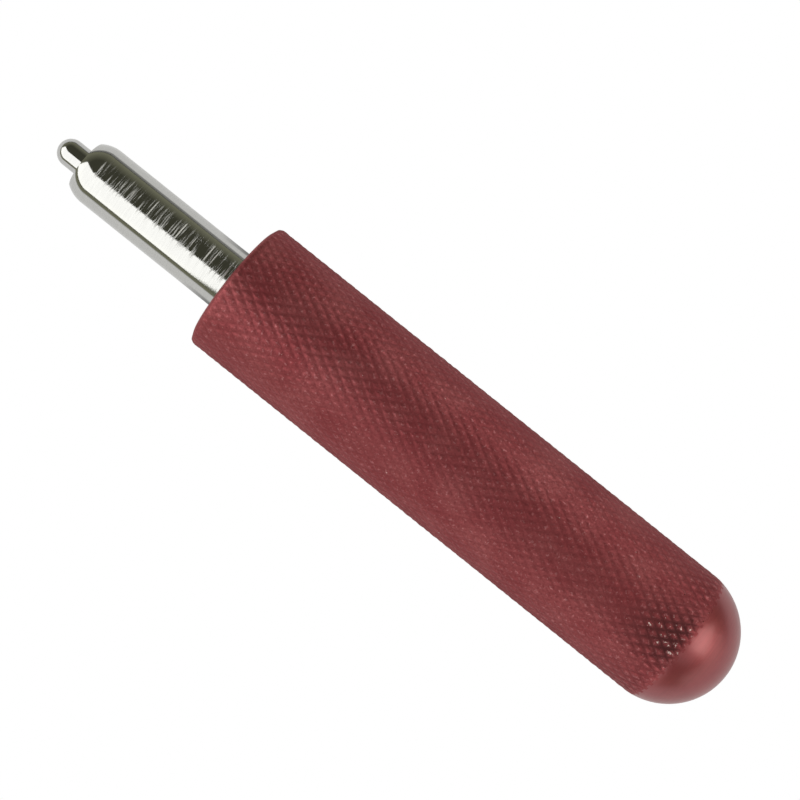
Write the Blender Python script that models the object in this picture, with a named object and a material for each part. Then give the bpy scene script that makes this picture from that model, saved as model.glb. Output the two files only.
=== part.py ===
"""A knurled hand punch with a rounded pilot pin, in metres, +Z up.

The tool lies on its side along X: the pilot pin points to -X and the domed end of the handle to +X.
The origin is under the middle of the tool, on the surface that it lies on.

Three pieces share one axis. The handle is one turning, with its dome and a blind bore in its front face.
The shank is pressed into that bore, and the pilot pin is pressed into a blind bore in the shank's nose.
"""

import math

import bmesh
import bpy

MM = 0.001

# Handle: knurled aluminium bar, 20 mm over the knurl.
HANDLE_RADIUS = 10.0 * MM
HANDLE_LENGTH = 86.2 * MM
DOME_RADIUS = HANDLE_RADIUS
FRONT_EDGE_ROUNDING = 1.0 * MM
SHANK_GRIP_DEPTH = 34.0 * MM
BORE_MOUTH_CHAMFER = 0.3 * MM

# Shank: polished steel rod, 9 mm across, with a rounded nose around a flat shoulder.
SHANK_RADIUS = 4.5 * MM
SHANK_PROJECTION = 26.3 * MM
SHOULDER_RADIUS = 3.7 * MM
NOSE_ROUNDING = 4.7 * MM
SHANK_LEAD_CHAMFER = 0.6 * MM

# Pilot pin: 4 mm steel dowel with a half-round nose.
PIN_RADIUS = 2.0 * MM
PIN_PROJECTION = 4.7 * MM
PIN_GRIP_DEPTH = 10.0 * MM
PIN_LEAD_CHAMFER = 0.3 * MM

# The gap left between two pieces that are pressed together, and under the end of each in its bore.
FIT_GAP = 0.3 * MM
DRILL_POINT_ANGLE = math.radians(118.0)

# How finely each round is faceted: flats around each piece, and steps along each rounded stretch of a profile.
HANDLE_SEGMENTS = 64
SHANK_SEGMENTS = 48
PIN_SEGMENTS = 32
FRONT_EDGE_STEPS = 4
DOME_STEPS = 14
SHANK_NOSE_STEPS = 5
PIN_NOSE_STEPS = 8
MERGE_DISTANCE = 0.000001
SHARP_EDGE_ANGLE = math.radians(25.0)

# Colour (linear red, green and blue) and roughness of each metal.
ANODISED_COLOR = (0.30, 0.045, 0.05)
ANODISED_ROUGHNESS = 0.45
SHANK_COLOR = (0.62, 0.62, 0.58)
PIN_COLOR = (0.66, 0.66, 0.63)
POLISHED_ROUGHNESS = 0.12

OVERALL_LENGTH = HANDLE_LENGTH + SHANK_PROJECTION + PIN_PROJECTION
FRONT_FACE_X = OVERALL_LENGTH / 2.0 - HANDLE_LENGTH


def clear_scene():
    for scene_object in list(bpy.data.objects):
        bpy.data.objects.remove(scene_object)


def metal(name, color, roughness):
    material = bpy.data.materials.new(name)
    material.use_nodes = True
    shader = material.node_tree.nodes["Principled BSDF"]
    shader.inputs["Base Color"].default_value = (*color, 1.0)
    shader.inputs["Metallic"].default_value = 1.0
    shader.inputs["Roughness"].default_value = roughness
    return material


def arc(centre_radius, centre_height, radius, start, end, steps):
    """Points (distance from the axis, height) on an arc, with its angles measured up from straight outwards."""
    angles = [math.radians(start + (end - start) * step / steps) for step in range(steps + 1)]
    return [
        (centre_radius + radius * math.cos(angle), centre_height + radius * math.sin(angle))
        for angle in angles
    ]


def blind_bore(radius, mouth_height, depth, mouth_chamfer):
    """The wall of a drilled hole, from the point at its bottom up to its mouth."""
    floor_height = mouth_height - depth
    drill_point = radius / math.tan(DRILL_POINT_ANGLE / 2.0)
    wall = [(0.0, floor_height - drill_point), (radius, floor_height)]
    if mouth_chamfer:
        wall.append((radius, mouth_height - mouth_chamfer))
    wall.append((radius + mouth_chamfer, mouth_height))
    return wall


def handle_profile():
    """Heights are above the front face of the handle, so the handle itself is below zero."""
    bore = blind_bore(SHANK_RADIUS + FIT_GAP, 0.0, SHANK_GRIP_DEPTH + FIT_GAP, BORE_MOUTH_CHAMFER)
    edge_centre = HANDLE_RADIUS - FRONT_EDGE_ROUNDING
    front_edge = arc(edge_centre, -FRONT_EDGE_ROUNDING, FRONT_EDGE_ROUNDING, 90.0, 0.0, FRONT_EDGE_STEPS)
    dome_centre = DOME_RADIUS - HANDLE_LENGTH
    dome = arc(0.0, dome_centre, DOME_RADIUS, 0.0, -90.0, DOME_STEPS)
    dome[-1] = (0.0, -HANDLE_LENGTH)
    return bore + front_edge + dome


def shank_profile():
    bore = blind_bore(PIN_RADIUS + FIT_GAP, SHANK_PROJECTION, PIN_GRIP_DEPTH + FIT_GAP, 0.0)
    rounding_centre = SHANK_RADIUS - NOSE_ROUNDING
    rise = math.acos((SHOULDER_RADIUS - rounding_centre) / NOSE_ROUNDING)
    rounding_start = SHANK_PROJECTION - NOSE_ROUNDING * math.sin(rise)
    nose = arc(rounding_centre, rounding_start, NOSE_ROUNDING, math.degrees(rise), 0.0, SHANK_NOSE_STEPS)
    tang = [
        (SHANK_RADIUS, SHANK_LEAD_CHAMFER - SHANK_GRIP_DEPTH),
        (SHANK_RADIUS - SHANK_LEAD_CHAMFER, -SHANK_GRIP_DEPTH),
        (0.0, -SHANK_GRIP_DEPTH),
    ]
    return bore + nose + tang


def pin_profile():
    """Heights are above the shoulder of the shank."""
    nose = arc(0.0, PIN_PROJECTION - PIN_RADIUS, PIN_RADIUS, 90.0, 0.0, PIN_NOSE_STEPS)
    nose[0] = (0.0, PIN_PROJECTION)
    tail = [
        (PIN_RADIUS, PIN_LEAD_CHAMFER - PIN_GRIP_DEPTH),
        (PIN_RADIUS - PIN_LEAD_CHAMFER, -PIN_GRIP_DEPTH),
        (0.0, -PIN_GRIP_DEPTH),
    ]
    return nose + tail


def tool_axis():
    """An empty in the middle of the handle's front face, with its own +Z pointing out along the tool."""
    empty = bpy.data.objects.new("tool_axis", None)
    bpy.context.scene.collection.objects.link(empty)
    empty.location = (FRONT_FACE_X, 0.0, HANDLE_RADIUS)
    empty.rotation_euler = (0.0, -math.pi / 2.0, 0.0)
    return empty


def turned_piece(name, profile, segments, material, axis_empty, height):
    """Turns a profile of (distance from the axis, height) points, top to bottom, into a solid.

    Each flat of the solid touches the true round, so a widest point is as far out as its radius says,
    and the middle of one flat is straight below the axis.
    """
    widening = 1.0 / math.cos(math.pi / segments)
    mesh = bpy.data.meshes.new(name)
    outline = bmesh.new()
    points = [outline.verts.new((radius * widening, 0.0, level)) for radius, level in profile]
    for upper, lower in zip(points, points[1:]):
        outline.edges.new((upper, lower))
    outline.to_mesh(mesh)
    outline.free()
    mesh.materials.append(material)
    piece = bpy.data.objects.new(name, mesh)
    bpy.context.scene.collection.objects.link(piece)
    turn = piece.modifiers.new("turn", "SCREW")
    turn.axis = "Z"
    turn.steps = segments
    turn.render_steps = segments
    turn.use_merge_vertices = True
    turn.merge_threshold = MERGE_DISTANCE
    apply_modifiers(piece)
    piece.data.shade_smooth()
    piece.data.set_sharp_from_angle(angle=SHARP_EDGE_ANGLE)
    piece.parent = axis_empty
    piece.location = (0.0, 0.0, height)
    piece.rotation_euler = (0.0, 0.0, math.pi / segments)
    return piece


def apply_modifiers(piece):
    graph = bpy.context.evaluated_depsgraph_get()
    solid = bpy.data.meshes.new_from_object(piece.evaluated_get(graph))
    piece.modifiers.clear()
    piece.data = solid


def build():
    clear_scene()
    axis_empty = tool_axis()
    anodised = metal("red_anodised_aluminium", ANODISED_COLOR, ANODISED_ROUGHNESS)
    steel = metal("polished_steel", SHANK_COLOR, POLISHED_ROUGHNESS)
    pin_steel = metal("hardened_pin_steel", PIN_COLOR, POLISHED_ROUGHNESS)
    turned_piece("handle", handle_profile(), HANDLE_SEGMENTS, anodised, axis_empty, 0.0)
    turned_piece("shank", shank_profile(), SHANK_SEGMENTS, steel, axis_empty, 0.0)
    turned_piece("pilot_pin", pin_profile(), PIN_SEGMENTS, pin_steel, axis_empty, SHANK_PROJECTION)


build()
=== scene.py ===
"""Looks of the knurled hand punch: a knurled handle, a polished shank and a polished pilot pin.

The tool lies along X with its tip at -X, on a white light table in a dim room. A long softbox stands on the
-Y side, from the shank to far beyond the tip. Two more stand beyond the dome, one high on the +Y side and one
low across the axis. A fill on each side and a wide top light soften the rest.
"""

import math

import bpy
import numpy as np
from mathutils import Matrix, Vector


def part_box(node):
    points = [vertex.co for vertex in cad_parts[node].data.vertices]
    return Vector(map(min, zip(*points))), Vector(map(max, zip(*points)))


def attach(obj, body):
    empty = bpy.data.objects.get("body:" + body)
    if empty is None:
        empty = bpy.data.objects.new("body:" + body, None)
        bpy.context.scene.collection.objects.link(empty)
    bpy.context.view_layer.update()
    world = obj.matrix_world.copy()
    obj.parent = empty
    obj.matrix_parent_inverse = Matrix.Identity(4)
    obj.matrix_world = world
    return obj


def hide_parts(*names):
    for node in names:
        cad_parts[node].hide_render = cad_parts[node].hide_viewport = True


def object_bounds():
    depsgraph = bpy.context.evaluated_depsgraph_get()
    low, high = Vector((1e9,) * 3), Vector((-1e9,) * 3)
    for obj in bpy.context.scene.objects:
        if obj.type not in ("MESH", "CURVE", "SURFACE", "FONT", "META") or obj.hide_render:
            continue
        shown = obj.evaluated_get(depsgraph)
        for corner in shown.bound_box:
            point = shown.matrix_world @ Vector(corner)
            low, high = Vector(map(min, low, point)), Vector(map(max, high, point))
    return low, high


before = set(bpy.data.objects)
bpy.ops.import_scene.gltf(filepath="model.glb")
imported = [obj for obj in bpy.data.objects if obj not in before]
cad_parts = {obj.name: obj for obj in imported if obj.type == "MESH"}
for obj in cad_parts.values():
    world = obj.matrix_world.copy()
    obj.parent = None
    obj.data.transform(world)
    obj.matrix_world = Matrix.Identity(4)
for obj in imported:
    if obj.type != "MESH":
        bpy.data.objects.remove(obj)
cad_low, cad_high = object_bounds()

MM = 0.001

# Places along the tool's axis and radii, read from the boxes of the solids that these pieces stand for.
handle_low, handle_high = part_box("handle")
shank_low, shank_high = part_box("shank")
pin_low, pin_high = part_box("pilot_pin")
TIP_X = pin_low.x
SHOULDER_X = shank_low.x
FRONT_X = handle_low.x
END_X = handle_high.x
AXIS_Z = (handle_low.z + handle_high.z) / 2.0
HANDLE_RADIUS = (handle_high.z - handle_low.z) / 2.0
SHANK_RADIUS = (shank_high.z - shank_low.z) / 2.0
PIN_RADIUS = (pin_high.z - pin_low.z) / 2.0
DOME_RADIUS = HANDLE_RADIUS
DOME_CENTRE_X = END_X - DOME_RADIUS

# The knurl: two families of V grooves that cross in diamonds.
KNURL_TEETH = 45
KNURL_HELIX = math.radians(31.0)
KNURL_DEPTH = 0.125 * MM
COLUMNS_PER_TOOTH = 7
GROOVE_HALF_COLUMNS = 3.0
CREST_START = GROOVE_HALF_COLUMNS / COLUMNS_PER_TOOTH
KNURL_COLUMNS = KNURL_TEETH * COLUMNS_PER_TOOTH
# The crests are worn down by up to this much, in waves that cross. For each wave: how much its phase grows
# per radian round the handle, how much over the handle's length, and where it starts.
CREST_WEAR = 0.03 * MM
WEAR_WAVES = ((3.0, 19.0, 0.0), (-5.0, 31.0, 1.7))
# By the dome the knurl is glossier with deeper painted groove shade, and a few patches gather painted glints
# and shade.
NEAR_DOME_LENGTH = 8.0 * MM
GLINT_PATCHES = 3
GLINT_PATCH_MIDDLE = math.radians(-2.0)
GLINT_PATCH_FALLOFF = 3.0

# The handle's front edge, bore and dome. Only the bore's mouth is made, because the shank hides the rest.
FRONT_ROUNDING = 1.0 * MM
BORE_GAP = 0.03 * MM
BORE_CHAMFER = 0.3 * MM
BORE_DEPTH = 4.0 * MM
DOME_RINGS = 34

# The shank's nose and the pin. Both go on a little way inside the piece that holds them.
SHOULDER_RADIUS = 3.7 * MM
NOSE_ROUNDING = 4.7 * MM
NOSE_STEPS = 16
SHANK_OVERLAP = 3.2 * MM
PIN_NOSE_STEPS = 24
PIN_OVERLAP = 0.2 * MM
SHANK_SEGMENTS = 256
PIN_SEGMENTS = 128
SHARP_EDGE_ANGLE = 12.0
# Matte scuffs part of the way round the shank: distance from the shoulder, and how strong each one is.
SHANK_SCUFFS = ((7.4 * MM, 0.35), (11.7 * MM, 0.7), (16.6 * MM, 1.0), (21.5 * MM, 1.0), (22.5 * MM, 0.65))
SCUFF_HALF_WIDTH = 0.13 * MM
SCUFF_START = math.radians(-3.0)
SCUFF_TURN = math.radians(36.0)
# The polish is worn in stripes along the shank, and the first one's middle is this far round from the top.
WORN_STRIPES = 3
WORN_MIDDLE = math.radians(10.0)
WORN_FALLOFF = 3.0

CAMERA_LENS = 81.0
CAMERA_SENSOR = 36.0
CAMERA_CLIP_START = 10.0 * MM
# The middle of the handle's front face, as the camera sees it: right, up and back.
FRONT_IN_VIEW = Vector((-22.811, 16.010, -248.527)) * MM
SLOPE_IN_VIEW = math.radians(38.693)
RISE_IN_VIEW = math.radians(0.986)


def new_object(name, vertices, faces, sharp_angle=None):
    mesh = bpy.data.meshes.new(name)
    mesh.from_pydata([tuple(v) for v in vertices], [], [tuple(f) for f in faces])
    mesh.validate()
    mesh.shade_smooth()
    if sharp_angle:
        mesh.set_sharp_from_angle(angle=math.radians(sharp_angle))
    piece = bpy.data.objects.new(name, mesh)
    bpy.context.scene.collection.objects.link(piece)
    return piece


def add_attribute(piece, name, values):
    """A number for each point of a piece, for its material to read."""
    data = np.asarray(values, dtype=np.float32)
    piece.data.attributes.new(name, "FLOAT", "POINT").data.foreach_set("value", data)


def arc(centre_x, centre_radius, radius, start, end, steps):
    """Points (x, distance from the axis) on an arc. Its angles, in degrees, run from outwards to +X."""
    angles = [math.radians(start + (end - start) * step / steps) for step in range(steps + 1)]
    return [(centre_x + radius * math.sin(a), centre_radius + radius * math.cos(a)) for a in angles]


def ring_points(x, radii, count):
    """A ring round the tool's axis at x. radii is one distance from the axis, or one for each point."""
    angles = 2.0 * np.pi * np.arange(count) / count
    across = radii * np.sin(angles)
    height = AXIS_Z + radii * np.cos(angles)
    return np.stack([np.broadcast_to(x, count), across, height], axis=1)


def stripes(angles, count, middle, falloff):
    """Soft stripes spaced evenly round the axis: 1 along the middle of each, and 0 halfway between two."""
    return (0.5 + 0.5 * np.cos(count * (angles - middle))) ** falloff


def turned(name, profile, count):
    """A closed turning. profile is (x, distance) points along its outside, from the axis to the axis."""
    vertices = [(profile[0][0], 0.0, AXIS_Z)]
    rings = profile[1:-1]
    for x, radius in rings:
        vertices.extend(ring_points(x, radius, count))
    vertices.append((profile[-1][0], 0.0, AXIS_Z))
    last = len(vertices) - 1
    last_ring = 1 + (len(rings) - 1) * count
    faces = []
    for i in range(count):
        j = (i + 1) % count
        faces.append((0, 1 + i, 1 + j))
        for ring in range(len(rings) - 1):
            base = 1 + ring * count
            faces.append((base + i, base + count + i, base + count + j, base + j))
        faces.append((last_ring + i, last, last_ring + j))
    return new_object(name, vertices, faces, SHARP_EDGE_ANGLE)


def groove_depth(phase):
    """Depth of one family of grooves: 1 at the middle of a groove, 0 on the flat crests."""
    from_groove = np.abs(phase - np.round(phase))
    return np.clip(1.0 - from_groove / CREST_START, 0.0, 1.0)


def knurl_rows():
    """Where the rows of points across the knurl are along X, until just past where the grooves run out."""
    axial_pitch = 2.0 * math.pi * HANDLE_RADIUS / KNURL_TEETH / math.tan(KNURL_HELIX)
    row_step = axial_pitch / COLUMNS_PER_TOOTH
    run_out = math.sqrt(DOME_RADIUS**2 - (DOME_RADIUS - KNURL_DEPTH) ** 2)
    row_count = int((DOME_CENTRE_X + run_out - FRONT_X) / row_step) + 2
    return FRONT_X + row_step * np.arange(row_count)


def crest_wear(rows, turn):
    """How worn the crests are, from 0 to 1."""
    along = (rows - FRONT_X) / (END_X - FRONT_X)
    waves = [np.sin(sideways * turn + forwards * along + start) for sideways, forwards, start in WEAR_WAVES]
    return 0.5 + 0.5 * sum(waves) / len(waves)


def turned_limit(rows):
    """The greatest radius that the front edge's rounding and the dome allow at each row."""
    from_face = np.clip(FRONT_ROUNDING - (rows - FRONT_X), 0.0, FRONT_ROUNDING)
    front_edge = HANDLE_RADIUS - FRONT_ROUNDING + np.sqrt(FRONT_ROUNDING**2 - from_face**2)
    past_centre = np.clip(rows - DOME_CENTRE_X, 0.0, DOME_RADIUS)
    dome = np.sqrt(DOME_RADIUS**2 - past_centre**2)
    return np.minimum(front_edge, dome)


class Knurl:
    """The knurled surface as a grid of points, in rows along the tool and columns round it.

    radii are the points' distances from the axis, and attributes are what the material reads at them. For the
    square from each point to the next row and column, bare says that no groove is left in it on the dome, and
    along_b says which way it is split.
    """

    def __init__(self):
        self.rows = knurl_rows()
        rows = self.rows[:, None]
        row = np.arange(len(self.rows))[:, None]
        column = np.arange(KNURL_COLUMNS)[None, :]
        turn = 2.0 * np.pi * column / KNURL_COLUMNS
        family_a = groove_depth((column + row) / COLUMNS_PER_TOOTH)
        family_b = groove_depth((column - row) / COLUMNS_PER_TOOTH)
        depth = np.maximum(family_a, family_b)
        limit = turned_limit(rows)
        cut = HANDLE_RADIUS - np.maximum(KNURL_DEPTH * depth, CREST_WEAR * crest_wear(rows, turn))
        self.radii = np.minimum(cut, limit)
        groove = np.clip((limit - self.radii) / KNURL_DEPTH, 0.0, 1.0)
        crest = np.where(limit > HANDLE_RADIUS - KNURL_DEPTH, 1.0 - depth, 0.0)
        near_dome = np.clip(1.0 - (DOME_CENTRE_X - rows) / NEAR_DOME_LENGTH, 0.0, 1.0)
        # Glint patches: a few places round the handle by the dome where painted glints and painted shade in
        # the grooves gather.
        glint_patch = near_dome * stripes(turn, GLINT_PATCHES, GLINT_PATCH_MIDDLE, GLINT_PATCH_FALLOFF)
        near_dome = np.broadcast_to(near_dome, depth.shape)
        self.attributes = {"groove": groove, "crest": crest, "near_dome": near_dome, "glint_patch": glint_patch}
        two_wide = groove + np.roll(groove, -1, axis=1)
        self.bare = (rows[:-1] > DOME_CENTRE_X) & (two_wide[:-1] + two_wide[1:] == 0.0)
        # Each square is split along the groove that shapes it, so that ridges and grooves stay straight.
        next_a = np.roll(family_a, -1, axis=1)
        next_b = np.roll(family_b, -1, axis=1)
        self.along_b = family_b[:-1] + next_b[1:] > family_a[1:] + next_a[:-1]

    def halves(self, row, column, corners):
        """The two triangles of a square, whose corners run round it."""
        first, second, third, fourth = corners
        if self.along_b[row, column]:
            return (first, second, third), (first, third, fourth)
        return (first, second, fourth), (second, third, fourth)


def front_profile():
    """Points (x, distance) from inside the bore to halfway out over the handle's front face."""
    bore_radius = SHANK_RADIUS + BORE_GAP
    return [
        (FRONT_X + BORE_DEPTH, bore_radius),
        (FRONT_X + BORE_CHAMFER, bore_radius),
        (FRONT_X, bore_radius + BORE_CHAMFER),
        (FRONT_X, (bore_radius + HANDLE_RADIUS - FRONT_ROUNDING) / 2.0),
    ]


def dome_profile(start_x):
    """Points (x, distance) on the dome, from the first one past start_x to the last one before the pole."""
    start = math.asin((start_x - DOME_CENTRE_X) / DOME_RADIUS)
    angles = [start + (math.pi / 2.0 - start) * step / DOME_RINGS for step in range(1, DOME_RINGS)]
    return [(DOME_CENTRE_X + DOME_RADIUS * math.sin(a), DOME_RADIUS * math.cos(a)) for a in angles]


def handle_faces(knurl, first_row, ring_count):
    """The handle's faces, and whether each is smooth. After the rings come two points: bottom and pole."""
    columns = KNURL_COLUMNS
    last_ring = (ring_count - 1) * columns
    bottom = ring_count * columns
    pole = bottom + 1
    faces = []
    smooth = []
    for i in range(columns):
        j = (i + 1) % columns
        faces += [(bottom, i, j), (last_ring + i, pole, last_ring + j)]
        smooth += [False, True]
    for ring in range(ring_count - 1):
        near, far = ring * columns, (ring + 1) * columns
        row = ring - first_row
        knurled = 0 <= row < len(knurl.rows) - 1
        for i in range(columns):
            j = (i + 1) % columns
            corners = (near + i, far + i, far + j, near + j)
            if knurled:
                faces += knurl.halves(row, i, corners)
                smooth += [knurl.bare[row, i]] * 2
            else:
                faces.append(corners)
                smooth.append(True)
    return faces, smooth


def knurled_handle():
    knurl = Knurl()
    front = front_profile()
    profile = front + list(zip(knurl.rows, knurl.radii)) + dome_profile(knurl.rows[-1])
    rings = [ring_points(x, radii, KNURL_COLUMNS) for x, radii in profile]
    vertices = np.concatenate([*rings, [(FRONT_X + BORE_DEPTH, 0.0, AXIS_Z), (END_X, 0.0, AXIS_Z)]])
    faces, smooth = handle_faces(knurl, len(front), len(rings))
    piece = new_object("knurled_handle", vertices, faces)
    # Turned faces, on the dome and round the bore's mouth, take the second, smooth material.
    piece.data.polygons.foreach_set("material_index", np.array(smooth, dtype=np.int32))
    start = len(front) * KNURL_COLUMNS
    for name, values in knurl.attributes.items():
        whole = np.zeros(len(vertices))
        whole[start : start + values.size] = values.ravel()
        add_attribute(piece, name, whole)
    return piece


def wear_shank(piece, scuffed_rings, straight_rings):
    """Marks the scuffs and the worn stripes.

    The scuffed rings are (ring, strength) pairs, with the rings counted from the middle of the shoulder.
    The straight rings, which wear in stripes, are the last ones.
    """
    angles = 2.0 * np.pi * np.arange(SHANK_SEGMENTS) / SHANK_SEGMENTS
    spacing = 2.0 * math.pi / WORN_STRIPES
    scuff_arcs = np.sin(np.pi * np.clip((angles - SCUFF_START) % spacing / SCUFF_TURN, 0.0, 1.0))
    scuff_arcs = np.sqrt(np.clip(scuff_arcs, 0.0, 1.0))
    scuff = np.zeros(len(piece.data.vertices))
    for ring, strength in scuffed_rings:
        start = 1 + (ring - 1) * SHANK_SEGMENTS
        scuff[start : start + SHANK_SEGMENTS] = strength * scuff_arcs
    worn = np.zeros(len(piece.data.vertices))
    worn_stripes = stripes(angles, WORN_STRIPES, WORN_MIDDLE, WORN_FALLOFF)
    worn[-1 - straight_rings * SHANK_SEGMENTS : -1] = np.tile(worn_stripes, straight_rings)
    add_attribute(piece, "scuff", scuff)
    add_attribute(piece, "worn", worn)


def polished_shank():
    rounding_centre = SHANK_RADIUS - NOSE_ROUNDING
    rise = math.acos((SHOULDER_RADIUS - rounding_centre) / NOSE_ROUNDING)
    nose_end = SHOULDER_X + NOSE_ROUNDING * math.sin(rise)
    profile = [(SHOULDER_X, 0.0)]
    profile += arc(nose_end, rounding_centre, NOSE_ROUNDING, -math.degrees(rise), 0.0, NOSE_STEPS)
    scuffed_rings = []
    for distance, strength in SHANK_SCUFFS:
        for offset in (-SCUFF_HALF_WIDTH, 0.0, SCUFF_HALF_WIDTH):
            profile.append((SHOULDER_X + distance + offset, SHANK_RADIUS))
        scuffed_rings.append((len(profile) - 2, strength))
    hidden_x = FRONT_X + SHANK_OVERLAP
    profile += [(hidden_x, SHANK_RADIUS), (hidden_x, 0.0)]
    piece = turned("polished_shank", profile, SHANK_SEGMENTS)
    wear_shank(piece, scuffed_rings, straight_rings=len(profile) - 2 - NOSE_STEPS)
    return piece


def polished_pin():
    nose = arc(TIP_X + PIN_RADIUS, 0.0, PIN_RADIUS, -90.0, 0.0, PIN_NOSE_STEPS)
    nose[0] = (TIP_X, 0.0)
    hidden_x = SHOULDER_X + PIN_OVERLAP
    return turned("polished_pin", nose + [(hidden_x, PIN_RADIUS), (hidden_x, 0.0)], PIN_SEGMENTS)


WHOLE = (0.0, 1.0)


class Look:
    """A material made of nodes, with short calls to add and join them."""

    def __init__(self, name):
        self.material = bpy.data.materials.new(name)
        self.material.use_nodes = True
        self.tree = self.material.node_tree
        self.shader = self.tree.nodes["Principled BSDF"]

    def add(self, kind, settings=None, inputs=None):
        node = self.tree.nodes.new(kind)
        for key, value in (settings or {}).items():
            setattr(node, key, value)
        for key, value in (inputs or {}).items():
            self.join(value, node.inputs[key])
        return node

    def join(self, value, socket):
        if isinstance(value, bpy.types.NodeSocket):
            self.tree.links.new(value, socket)
        else:
            socket.default_value = value

    def noise(self, scale, detail=2.0, roughness=0.5):
        """Noise in the object's own frame, with about scale spots to a millimetre along X, Y and Z."""
        place = self.add("ShaderNodeTexCoord").outputs["Object"]
        factor = tuple(s / MM for s in scale)
        point = self.add("ShaderNodeMapping", inputs={"Vector": place, "Scale": factor}).outputs["Vector"]
        inputs = {"Vector": point, "Scale": 1.0, "Detail": detail, "Roughness": roughness}
        return self.add("ShaderNodeTexNoise", inputs=inputs).outputs["Fac"]

    def attribute(self, name):
        return self.add("ShaderNodeAttribute", {"attribute_name": name}).outputs["Fac"]

    def ramp(self, value, span, onto=WHOLE):
        """value, clamped to one span of numbers, moved onto another."""
        inputs = {0: value, 1: span[0], 2: span[1], 3: onto[0], 4: onto[1]}
        return self.add("ShaderNodeMapRange", inputs=inputs).outputs[0]

    def math(self, operation, first, second=0.0):
        return self.add("ShaderNodeMath", {"operation": operation}, {0: first, 1: second}).outputs[0]

    def times(self, first, second):
        return self.math("MULTIPLY", first, second)

    def plus(self, first, second):
        return self.math("ADD", first, second)

    def minus(self, first, second):
        return self.math("SUBTRACT", first, second)

    def mix(self, factor, first, second):
        """A colour between two others. Its sockets go by number, because each name stands for several."""
        node = self.add("ShaderNodeMix", {"data_type": "RGBA"}, {0: factor})
        self.join(first, node.inputs[6])
        self.join(second, node.inputs[7])
        return node.outputs[2]

    def bump(self, height, distance, normal=None):
        inputs = {"Height": height, "Distance": distance, "Strength": 1.0}
        if normal is not None:
            inputs["Normal"] = normal
        return self.add("ShaderNodeBump", inputs=inputs).outputs["Normal"]

    def finish(self, **inputs):
        """Sets or joins the shader's sockets, named with underscores for spaces."""
        for key, value in inputs.items():
            self.join(value, self.shader.inputs[key.replace("_", " ")])
        return self.material


WHITE = (1.0, 1.0, 1.0, 1.0)
BLACK = (0.0, 0.0, 0.0, 1.0)

# The anodised handle's dye where it is plain, darker (for grain, marks and the painted shade in grooves) and
# lighter, and the tint of grazing light.
RED = (0.325, 0.060, 0.067, 1.0)
RED_DARK = (0.201, 0.031, 0.036, 1.0)
RED_LIGHT = (0.401, 0.099, 0.104, 1.0)
DOME_RED = (0.345, 0.044, 0.051, 1.0)
DOME_LIGHT = (0.39, 0.068, 0.074, 1.0)
# Pale pink of the painted highlights that the crests catch.
CREST_HIGHLIGHT = (0.62, 0.25, 0.26, 1.0)
# Bare aluminium, whose spots on the crests are partly wear and partly painted glints.
BARE_AND_GLINT = (0.95, 0.74, 0.70, 1.0)
# Near-black painted shade for the grooves in the glint patches.
DEEP_SHADE = (0.05, 0.018, 0.018, 1.0)
EDGE_TINT = (0.62, 0.48, 0.48, 1.0)
# Each noise has a scale, as Look.noise takes it, and the span of its values that makes the pattern.
BLOTCH_SCALE = (0.16, 0.22, 0.22)
BLOTCH_SPAN = (0.35, 0.65)
GRAIN_SCALE = (3.2, 3.2, 3.2)
GRAIN_SPAN = (0.35, 0.75)
GRAIN_ROUGHNESS_SPAN = (0.3, 0.7)
SPECKLE_SCALE = (1.9, 1.9, 1.9)
SPECKLE_SPAN = (0.74, 0.78)
CREST_HIGHLIGHT_SCALE = (2.6, 2.6, 2.6)
CREST_HIGHLIGHT_SPAN = (0.56, 0.68)
FLECK_SCALE = (2.2, 2.2, 2.2)
FLECK_SPAN = (0.54, 0.62)
SHEEN_SCALE = (1.1, 1.1, 1.1)
SHEEN_SPAN = (0.42, 0.62)
MARKS_SCALE = (14.0, 0.25, 0.25)
MARKS_SPAN = (0.35, 0.75)
MARKS_ROUGHNESS_SPAN = (0.3, 0.7)
GRIT_SCALE = (7.0, 7.0, 7.0)
# Where on a diamond of the knurl each mark is, wear and painted light alike: spans of its crest, groove or
# glint patch attribute.
SPECKLE_ON_CREST = (0.45, 0.8)
FLECK_ON_CREST = (0.3, 0.7)
DEEP_SHADE_IN_GROOVE = (0.2, 0.8)
DEEP_SHADE_IN_PATCH = (0.0, 0.8)
# How strong each effect is, from its least to its most, and the roughness that it gives.
GRAIN_DARKENING = (0.0, 0.55)
GROOVE_SHADE = (0.25, 0.85)
DEEP_SHADE_STRENGTH = (0.0, 0.6)
CREST_HIGHLIGHT_STRENGTH = (0.0, 0.7)
GLINT_PATCH_GAIN = 0.19
SHEEN_SMOOTHING = (0.0, 0.16)
FLECK_SMOOTHING = 0.12
HANDLE_ROUGHNESS = (0.44, 0.58)
DOME_BLOTCHES = (0.0, 0.8)
MARKS_DARKENING = (0.1, 0.35)
DOME_ROUGHNESS = (0.41, 0.48)
GRIT_DEPTH = 0.012 * MM
FLECK_DEPTH = 0.015 * MM
DOME_GRIT_DEPTH = 0.004 * MM


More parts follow.
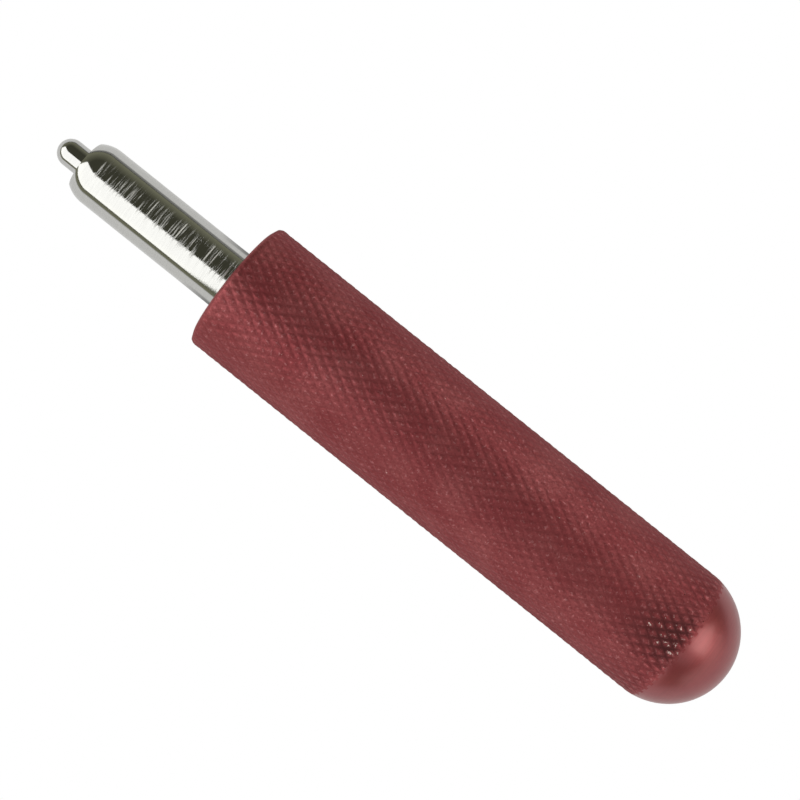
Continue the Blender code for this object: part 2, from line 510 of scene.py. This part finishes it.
def handle_color(look, grain):
    """Red dye with darker grain, painted shade in the grooves, painted highlight specks on the crests, and
    bare spots that are partly wear and partly painted glints, with painted glints and shade thickest in the
    glint patches.
    """
    groove = look.attribute("groove")
    crest = look.attribute("crest")
    glint_patch = look.attribute("glint_patch")
    blotch = look.noise(BLOTCH_SCALE, detail=3.0)
    body = look.mix(look.ramp(blotch, BLOTCH_SPAN), RED, RED_LIGHT)
    body = look.mix(look.ramp(grain, GRAIN_SPAN, GRAIN_DARKENING), body, RED_DARK)
    # Painted shade: the grooves are mixed towards dark red by their depth, more strongly near the dome.
    groove_shade = look.times(groove, look.ramp(look.attribute("near_dome"), WHOLE, GROOVE_SHADE))
    shaded = look.mix(groove_shade, body, RED_DARK)
    # Painted shade: the deepest grooves in the glint patches go near-black.
    deep_shade_weight = look.ramp(glint_patch, DEEP_SHADE_IN_PATCH, DEEP_SHADE_STRENGTH)
    deep_shade = look.times(look.ramp(groove, DEEP_SHADE_IN_GROOVE), deep_shade_weight)
    shaded = look.mix(deep_shade, shaded, DEEP_SHADE)
    # Painted highlights: pale specks on the crests.
    pale = look.ramp(look.noise(CREST_HIGHLIGHT_SCALE, roughness=0.6), CREST_HIGHLIGHT_SPAN, CREST_HIGHLIGHT_STRENGTH)
    shaded = look.mix(look.times(pale, crest), shaded, CREST_HIGHLIGHT)
    # Bare-metal spots on the crests, partly wear and partly painted glints, thicker in the glint patches.
    bare_and_glint_noise = look.plus(look.noise(SPECKLE_SCALE, roughness=0.6), look.times(glint_patch, GLINT_PATCH_GAIN))
    bare = look.times(look.ramp(bare_and_glint_noise, SPECKLE_SPAN), look.ramp(crest, SPECKLE_ON_CREST))
    return look.mix(bare, shaded, BARE_AND_GLINT)


def anodised():
    """Satin anodised aluminium over the knurl, with fine grit and a few smoother flecks on the crests."""
    look = Look("anodised_red")
    grain = look.noise(GRAIN_SCALE, roughness=0.6)
    flecks = look.noise(FLECK_SCALE, detail=1.0)
    fleck = look.times(look.ramp(flecks, FLECK_SPAN), look.ramp(look.attribute("crest"), FLECK_ON_CREST))
    sheen = look.ramp(look.noise(SHEEN_SCALE, detail=1.0), SHEEN_SPAN, SHEEN_SMOOTHING)
    roughness = look.ramp(grain, GRAIN_ROUGHNESS_SPAN, HANDLE_ROUGHNESS)
    roughness = look.minus(roughness, look.times(look.attribute("near_dome"), sheen))
    roughness = look.minus(roughness, look.times(fleck, FLECK_SMOOTHING))
    normal = look.bump(look.noise(GRIT_SCALE, roughness=0.7), GRIT_DEPTH)
    return look.finish(
        Base_Color=handle_color(look, grain), Metallic=0.8, Roughness=roughness, Specular_Tint=EDGE_TINT,
        Normal=look.bump(flecks, FLECK_DEPTH, normal), Coat_Weight=0.22, Coat_Roughness=0.5,
    )


def anodised_smooth():
    """The same aluminium on the dome and front face: satin, under a clear oxide, with fine turning marks."""
    look = Look("anodised_dome")
    blotch = look.noise(BLOTCH_SCALE, detail=3.0)
    marks = look.noise(MARKS_SCALE)
    body = look.mix(look.ramp(blotch, BLOTCH_SPAN, DOME_BLOTCHES), DOME_RED, DOME_LIGHT)
    return look.finish(
        Base_Color=look.mix(look.ramp(marks, MARKS_SPAN, MARKS_DARKENING), body, RED_DARK), Metallic=0.85,
        Roughness=look.ramp(marks, MARKS_ROUGHNESS_SPAN, DOME_ROUGHNESS), Specular_Tint=EDGE_TINT,
        Normal=look.bump(look.noise(GRIT_SCALE, roughness=0.7), DOME_GRIT_DEPTH),
        Coat_Weight=0.8, Coat_Roughness=0.28, Coat_IOR=1.7,
    )


SHANK_STEEL = (0.60, 0.599, 0.58, 1.0)
PIN_STEEL = (0.60, 0.599, 0.585, 1.0)
SCUFF = (0.95, 0.95, 0.90, 1.0)
STEEL_DULLING = 0.88
RING_SCALE = (14.0, 0.3, 0.3)
RING_SPAN = (0.35, 0.75)
RING_DEPTH = 0.0015 * MM
STREAK_SCALE = (4.5, 0.3, 0.3)
STREAK_DEPTH = 0.035 * MM
SCRATCH_SPAN = (0.49, 0.62)
NICK_SPAN = (0.63, 0.70)
NICK_STRENGTH = (0.0, 0.5)
SCUFF_SPAN = (0.0, 0.6)
SCUFF_METALLIC = (1.0, 0.1)
SCUFF_ROUGHENING = 0.3
STEEL_ROUGHNESS = (0.08, 0.58)


def steel(name, color):
    """Turned and polished steel. Where it is worn, fine scratches run round the axis, with matte scuffs."""
    look = Look(name)
    rings = look.noise(RING_SCALE, detail=3.0, roughness=0.6)
    streaks = look.noise(STREAK_SCALE, detail=3.0, roughness=0.6)
    worn = look.attribute("worn")
    scratched = look.times(look.ramp(streaks, SCRATCH_SPAN), worn)
    nicks = look.times(look.ramp(streaks, NICK_SPAN, NICK_STRENGTH), worn)
    scuff = look.math("MAXIMUM", look.ramp(look.attribute("scuff"), SCUFF_SPAN), nicks)
    roughness = look.ramp(scratched, WHOLE, STEEL_ROUGHNESS)
    roughness = look.plus(roughness, look.times(scuff, SCUFF_ROUGHENING))
    dull = tuple(c * STEEL_DULLING for c in color[:3]) + (1.0,)
    tint = look.mix(look.ramp(rings, RING_SPAN), color, dull)
    normal = look.bump(rings, RING_DEPTH)
    return look.finish(
        Base_Color=look.mix(scuff, tint, SCUFF), Metallic=look.ramp(scuff, WHOLE, SCUFF_METALLIC),
        Roughness=roughness, Normal=look.bump(look.times(streaks, worn), STREAK_DEPTH, normal),
    )


def dress(piece, materials, node):
    """Gives a piece its materials and its body, and hides the solid that it stands for."""
    for material in materials:
        piece.data.materials.append(material)
    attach(piece, "root")
    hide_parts(node)


FLOOR_HALF = 3.0
FLOOR_GAP = 0.02 * MM
FLOOR_COLOR = (0.35, 0.35, 0.35, 1.0)
# The floor's glow fades over this stretch of +Y, from the first brightness to the second.
GLOW_FADE = (48.0 * MM, 70.0 * MM)
FLOOR_GLOW = (0.56, 0.05)
# The handle's own shadow, painted into the table's glow and colour: the stretch over which it ends to each
# side, from its light to full light, and how long its soft ends are.
SHADOW_SIDE = (HANDLE_RADIUS, HANDLE_RADIUS + 12.0 * MM)
SHADOW_LIGHT = (0.10, 1.0)
SHADOW_END_SOFTNESS = 8.0 * MM


def floor():
    """A light table. It lights the tool from below, except in the handle's shadow, which is painted into its
    glow and colour. The camera sees white.
    """
    z = cad_low.z - FLOOR_GAP
    corners = [(x * FLOOR_HALF, y * FLOOR_HALF, z) for x, y in ((-1, -1), (1, -1), (1, 1), (-1, 1))]
    table = new_object("light_table", corners, [(0, 1, 2, 3)])
    look = Look("light_table")
    place = look.add("ShaderNodeTexCoord").outputs["Object"]
    split = look.add("ShaderNodeSeparateXYZ", inputs={0: place})
    along, across = split.outputs["X"], split.outputs["Y"]
    glow = look.ramp(across, GLOW_FADE, FLOOR_GLOW)
    beside = look.ramp(look.math("ABSOLUTE", across), SHADOW_SIDE, SHADOW_LIGHT)
    before = look.ramp(along, (FRONT_X - SHADOW_END_SOFTNESS, FRONT_X), (1.0, 0.0))
    after = look.ramp(along, (DOME_CENTRE_X - SHADOW_END_SOFTNESS, DOME_CENTRE_X))
    # The painted shadow: the table's glow and colour are dimmed beside the handle, between its ends.
    lit = look.math("MAXIMUM", beside, look.math("MAXIMUM", before, after))
    look.finish(
        Base_Color=look.mix(lit, BLACK, FLOOR_COLOR), Roughness=1.0, Specular_IOR_Level=0.0,
        Emission_Color=WHITE, Emission_Strength=look.times(glow, lit),
    )
    plain = look.add("ShaderNodeEmission", inputs={"Color": WHITE, "Strength": 1.0})
    seen = look.add("ShaderNodeLightPath").outputs["Is Camera Ray"]
    mixed = look.add("ShaderNodeMixShader", inputs={0: seen})
    look.join(look.shader.outputs[0], mixed.inputs[1])
    look.join(plain.outputs[0], mixed.inputs[2])
    look.join(mixed.outputs[0], look.tree.nodes["Material Output"].inputs["Surface"])
    table.data.materials.append(look.material)


def camera():
    """Looks down on the tool, which crosses the view from the upper left (tip) to the lower right (dome)."""
    level = math.cos(RISE_IN_VIEW)
    right, down = level * math.cos(SLOPE_IN_VIEW), level * math.sin(SLOPE_IN_VIEW)
    along = Vector((right, -down, math.sin(RISE_IN_VIEW)))
    back = Vector((0.0, 0.0, 1.0))
    up = (back - along * back.dot(along)).normalized()
    side = up.cross(along)
    view_to_world = Matrix((along, side, up))
    data = bpy.data.cameras.new("camera")
    data.lens = CAMERA_LENS
    data.sensor_width = CAMERA_SENSOR
    data.clip_start = CAMERA_CLIP_START
    viewer = bpy.data.objects.new("camera", data)
    bpy.context.scene.collection.objects.link(viewer)
    place = Vector((FRONT_X, 0.0, AXIS_Z)) - view_to_world @ FRONT_IN_VIEW
    viewer.matrix_world = Matrix.Translation(place) @ view_to_world.to_4x4()
    bpy.context.scene.camera = viewer


def softbox(name, corner, along, down, radiance, color=(1.0, 1.0, 1.0)):
    """A rectangular softbox from a corner and two edges. radiance is its brightness against white paper."""
    corner, along, down = Vector(corner), Vector(along), Vector(down)
    data = bpy.data.lights.new(name, "AREA")
    data.shape = "RECTANGLE"
    data.size = along.length
    data.size_y = down.length
    data.energy = radiance * math.pi * along.length * down.length
    data.color = color
    lamp = bpy.data.objects.new(name, data)
    bpy.context.scene.collection.objects.link(lamp)
    x_axis = along.normalized()
    y_axis = (down - x_axis * down.dot(x_axis)).normalized()
    z_axis = x_axis.cross(y_axis)
    middle = corner + (along + down) / 2.0
    if z_axis.dot(middle - Vector((0.0, 0.0, AXIS_Z))) < 0.0:
        x_axis, z_axis = -x_axis, -z_axis
    rotation = Matrix((x_axis, y_axis, z_axis)).transposed().to_4x4()
    lamp.matrix_world = Matrix.Translation(middle) @ rotation
    lamp.visible_camera = False


ROOM_COLOR = (1.0, 1.0, 0.70, 1.0)
# The room is brighter at the horizon, and dims until this height of a direction, where straight up is 1.
HORIZON_LIGHT = 0.25
HORIZON_TOP = 0.60
ROOM_LIGHT = 0.062
BACKDROP_LIGHT = 1.0


def room():
    """A dim room that only the tool sees, and a pale backdrop that only the camera sees."""
    world = bpy.data.worlds.new("studio")
    bpy.context.scene.world = world
    world.use_nodes = True
    nodes, links = world.node_tree.nodes, world.node_tree.links
    dim = nodes["Background"]
    dim.inputs["Color"].default_value = ROOM_COLOR
    direction = nodes.new("ShaderNodeTexCoord")
    height = nodes.new("ShaderNodeSeparateXYZ")
    fade = nodes.new("ShaderNodeMapRange")
    fade.inputs["From Max"].default_value = HORIZON_TOP
    fade.inputs["To Min"].default_value = HORIZON_LIGHT
    fade.inputs["To Max"].default_value = ROOM_LIGHT
    links.new(direction.outputs["Generated"], height.inputs[0])
    links.new(height.outputs["Z"], fade.inputs["Value"])
    links.new(fade.outputs[0], dim.inputs["Strength"])
    pale = nodes.new("ShaderNodeBackground")
    pale.inputs["Strength"].default_value = BACKDROP_LIGHT
    pale.inputs["Color"].default_value = WHITE
    path = nodes.new("ShaderNodeLightPath")
    mix = nodes.new("ShaderNodeMixShader")
    links.new(path.outputs["Is Camera Ray"], mix.inputs[0])
    links.new(dim.outputs[0], mix.inputs[1])
    links.new(pale.outputs[0], mix.inputs[2])
    links.new(mix.outputs[0], nodes["World Output"].inputs["Surface"])


TIP_SOFTBOX_DISTANCE = 0.235
TIP_SOFTBOX_TOP = math.radians(13.0)
TIP_SOFTBOX_BOTTOM = math.radians(73.8)
WARM_WHITE = (1.0, 0.93, 0.86)
FILL_DISTANCE = 0.25
FILL_TOP = math.radians(45.0)
FILL_BOTTOM = math.radians(84.0)


def around(x, distance, angle):
    """A point at x, at a distance from the tool's axis. The angle is from straight up towards -Y."""
    return Vector((x, -distance * math.sin(angle), AXIS_Z + distance * math.cos(angle)))


def side_softbox(name, x, distance, top, bottom, along, radiance):
    """A softbox beside the tool: one edge runs from the top to the bottom angle round the axis at x."""
    high = around(x, distance, top)
    low = around(x, distance, bottom)
    softbox(name, high, along, low - high, radiance)


def studio():
    room()
    side_softbox(
        "tip_softbox", x=-0.041, distance=TIP_SOFTBOX_DISTANCE,
        top=TIP_SOFTBOX_TOP, bottom=TIP_SOFTBOX_BOTTOM, along=(-0.44, 0.14, 0.0), radiance=1.6,
    )
    softbox(
        "dome_softbox", corner=(0.20, 0.007, 0.09), along=(0.0, 0.0, 0.16), down=(0.0, 0.165, 0.0),
        radiance=2.2, color=WARM_WHITE,
    )
    softbox(
        "end_softbox", corner=(0.45, -0.30, 0.01), along=(0.0, 0.60, 0.0), down=(0.0, 0.0, 0.16),
        radiance=0.65,
    )
    side_softbox(
        "left_fill", x=0.02, distance=FILL_DISTANCE, top=FILL_TOP, bottom=FILL_BOTTOM,
        along=(0.14, 0.0, 0.0), radiance=1.2,
    )
    side_softbox(
        "right_fill", x=-0.03, distance=FILL_DISTANCE, top=-FILL_TOP, bottom=-FILL_BOTTOM,
        along=(0.13, 0.0, 0.0), radiance=1.4,
    )
    softbox(
        "top_softbox", corner=(0.06, 0.25, 0.35), along=(0.45, 0.0, 0.0), down=(0.0, -0.45, 0.0),
        radiance=0.45,
    )


dress(knurled_handle(), (anodised(), anodised_smooth()), "handle")
dress(polished_shank(), (steel("shank_steel", SHANK_STEEL),), "shank")
dress(polished_pin(), (steel("pin_steel", PIN_STEEL),), "pilot_pin")
floor()
camera()
studio()
bpy.context.scene.view_settings.view_transform = "Standard"
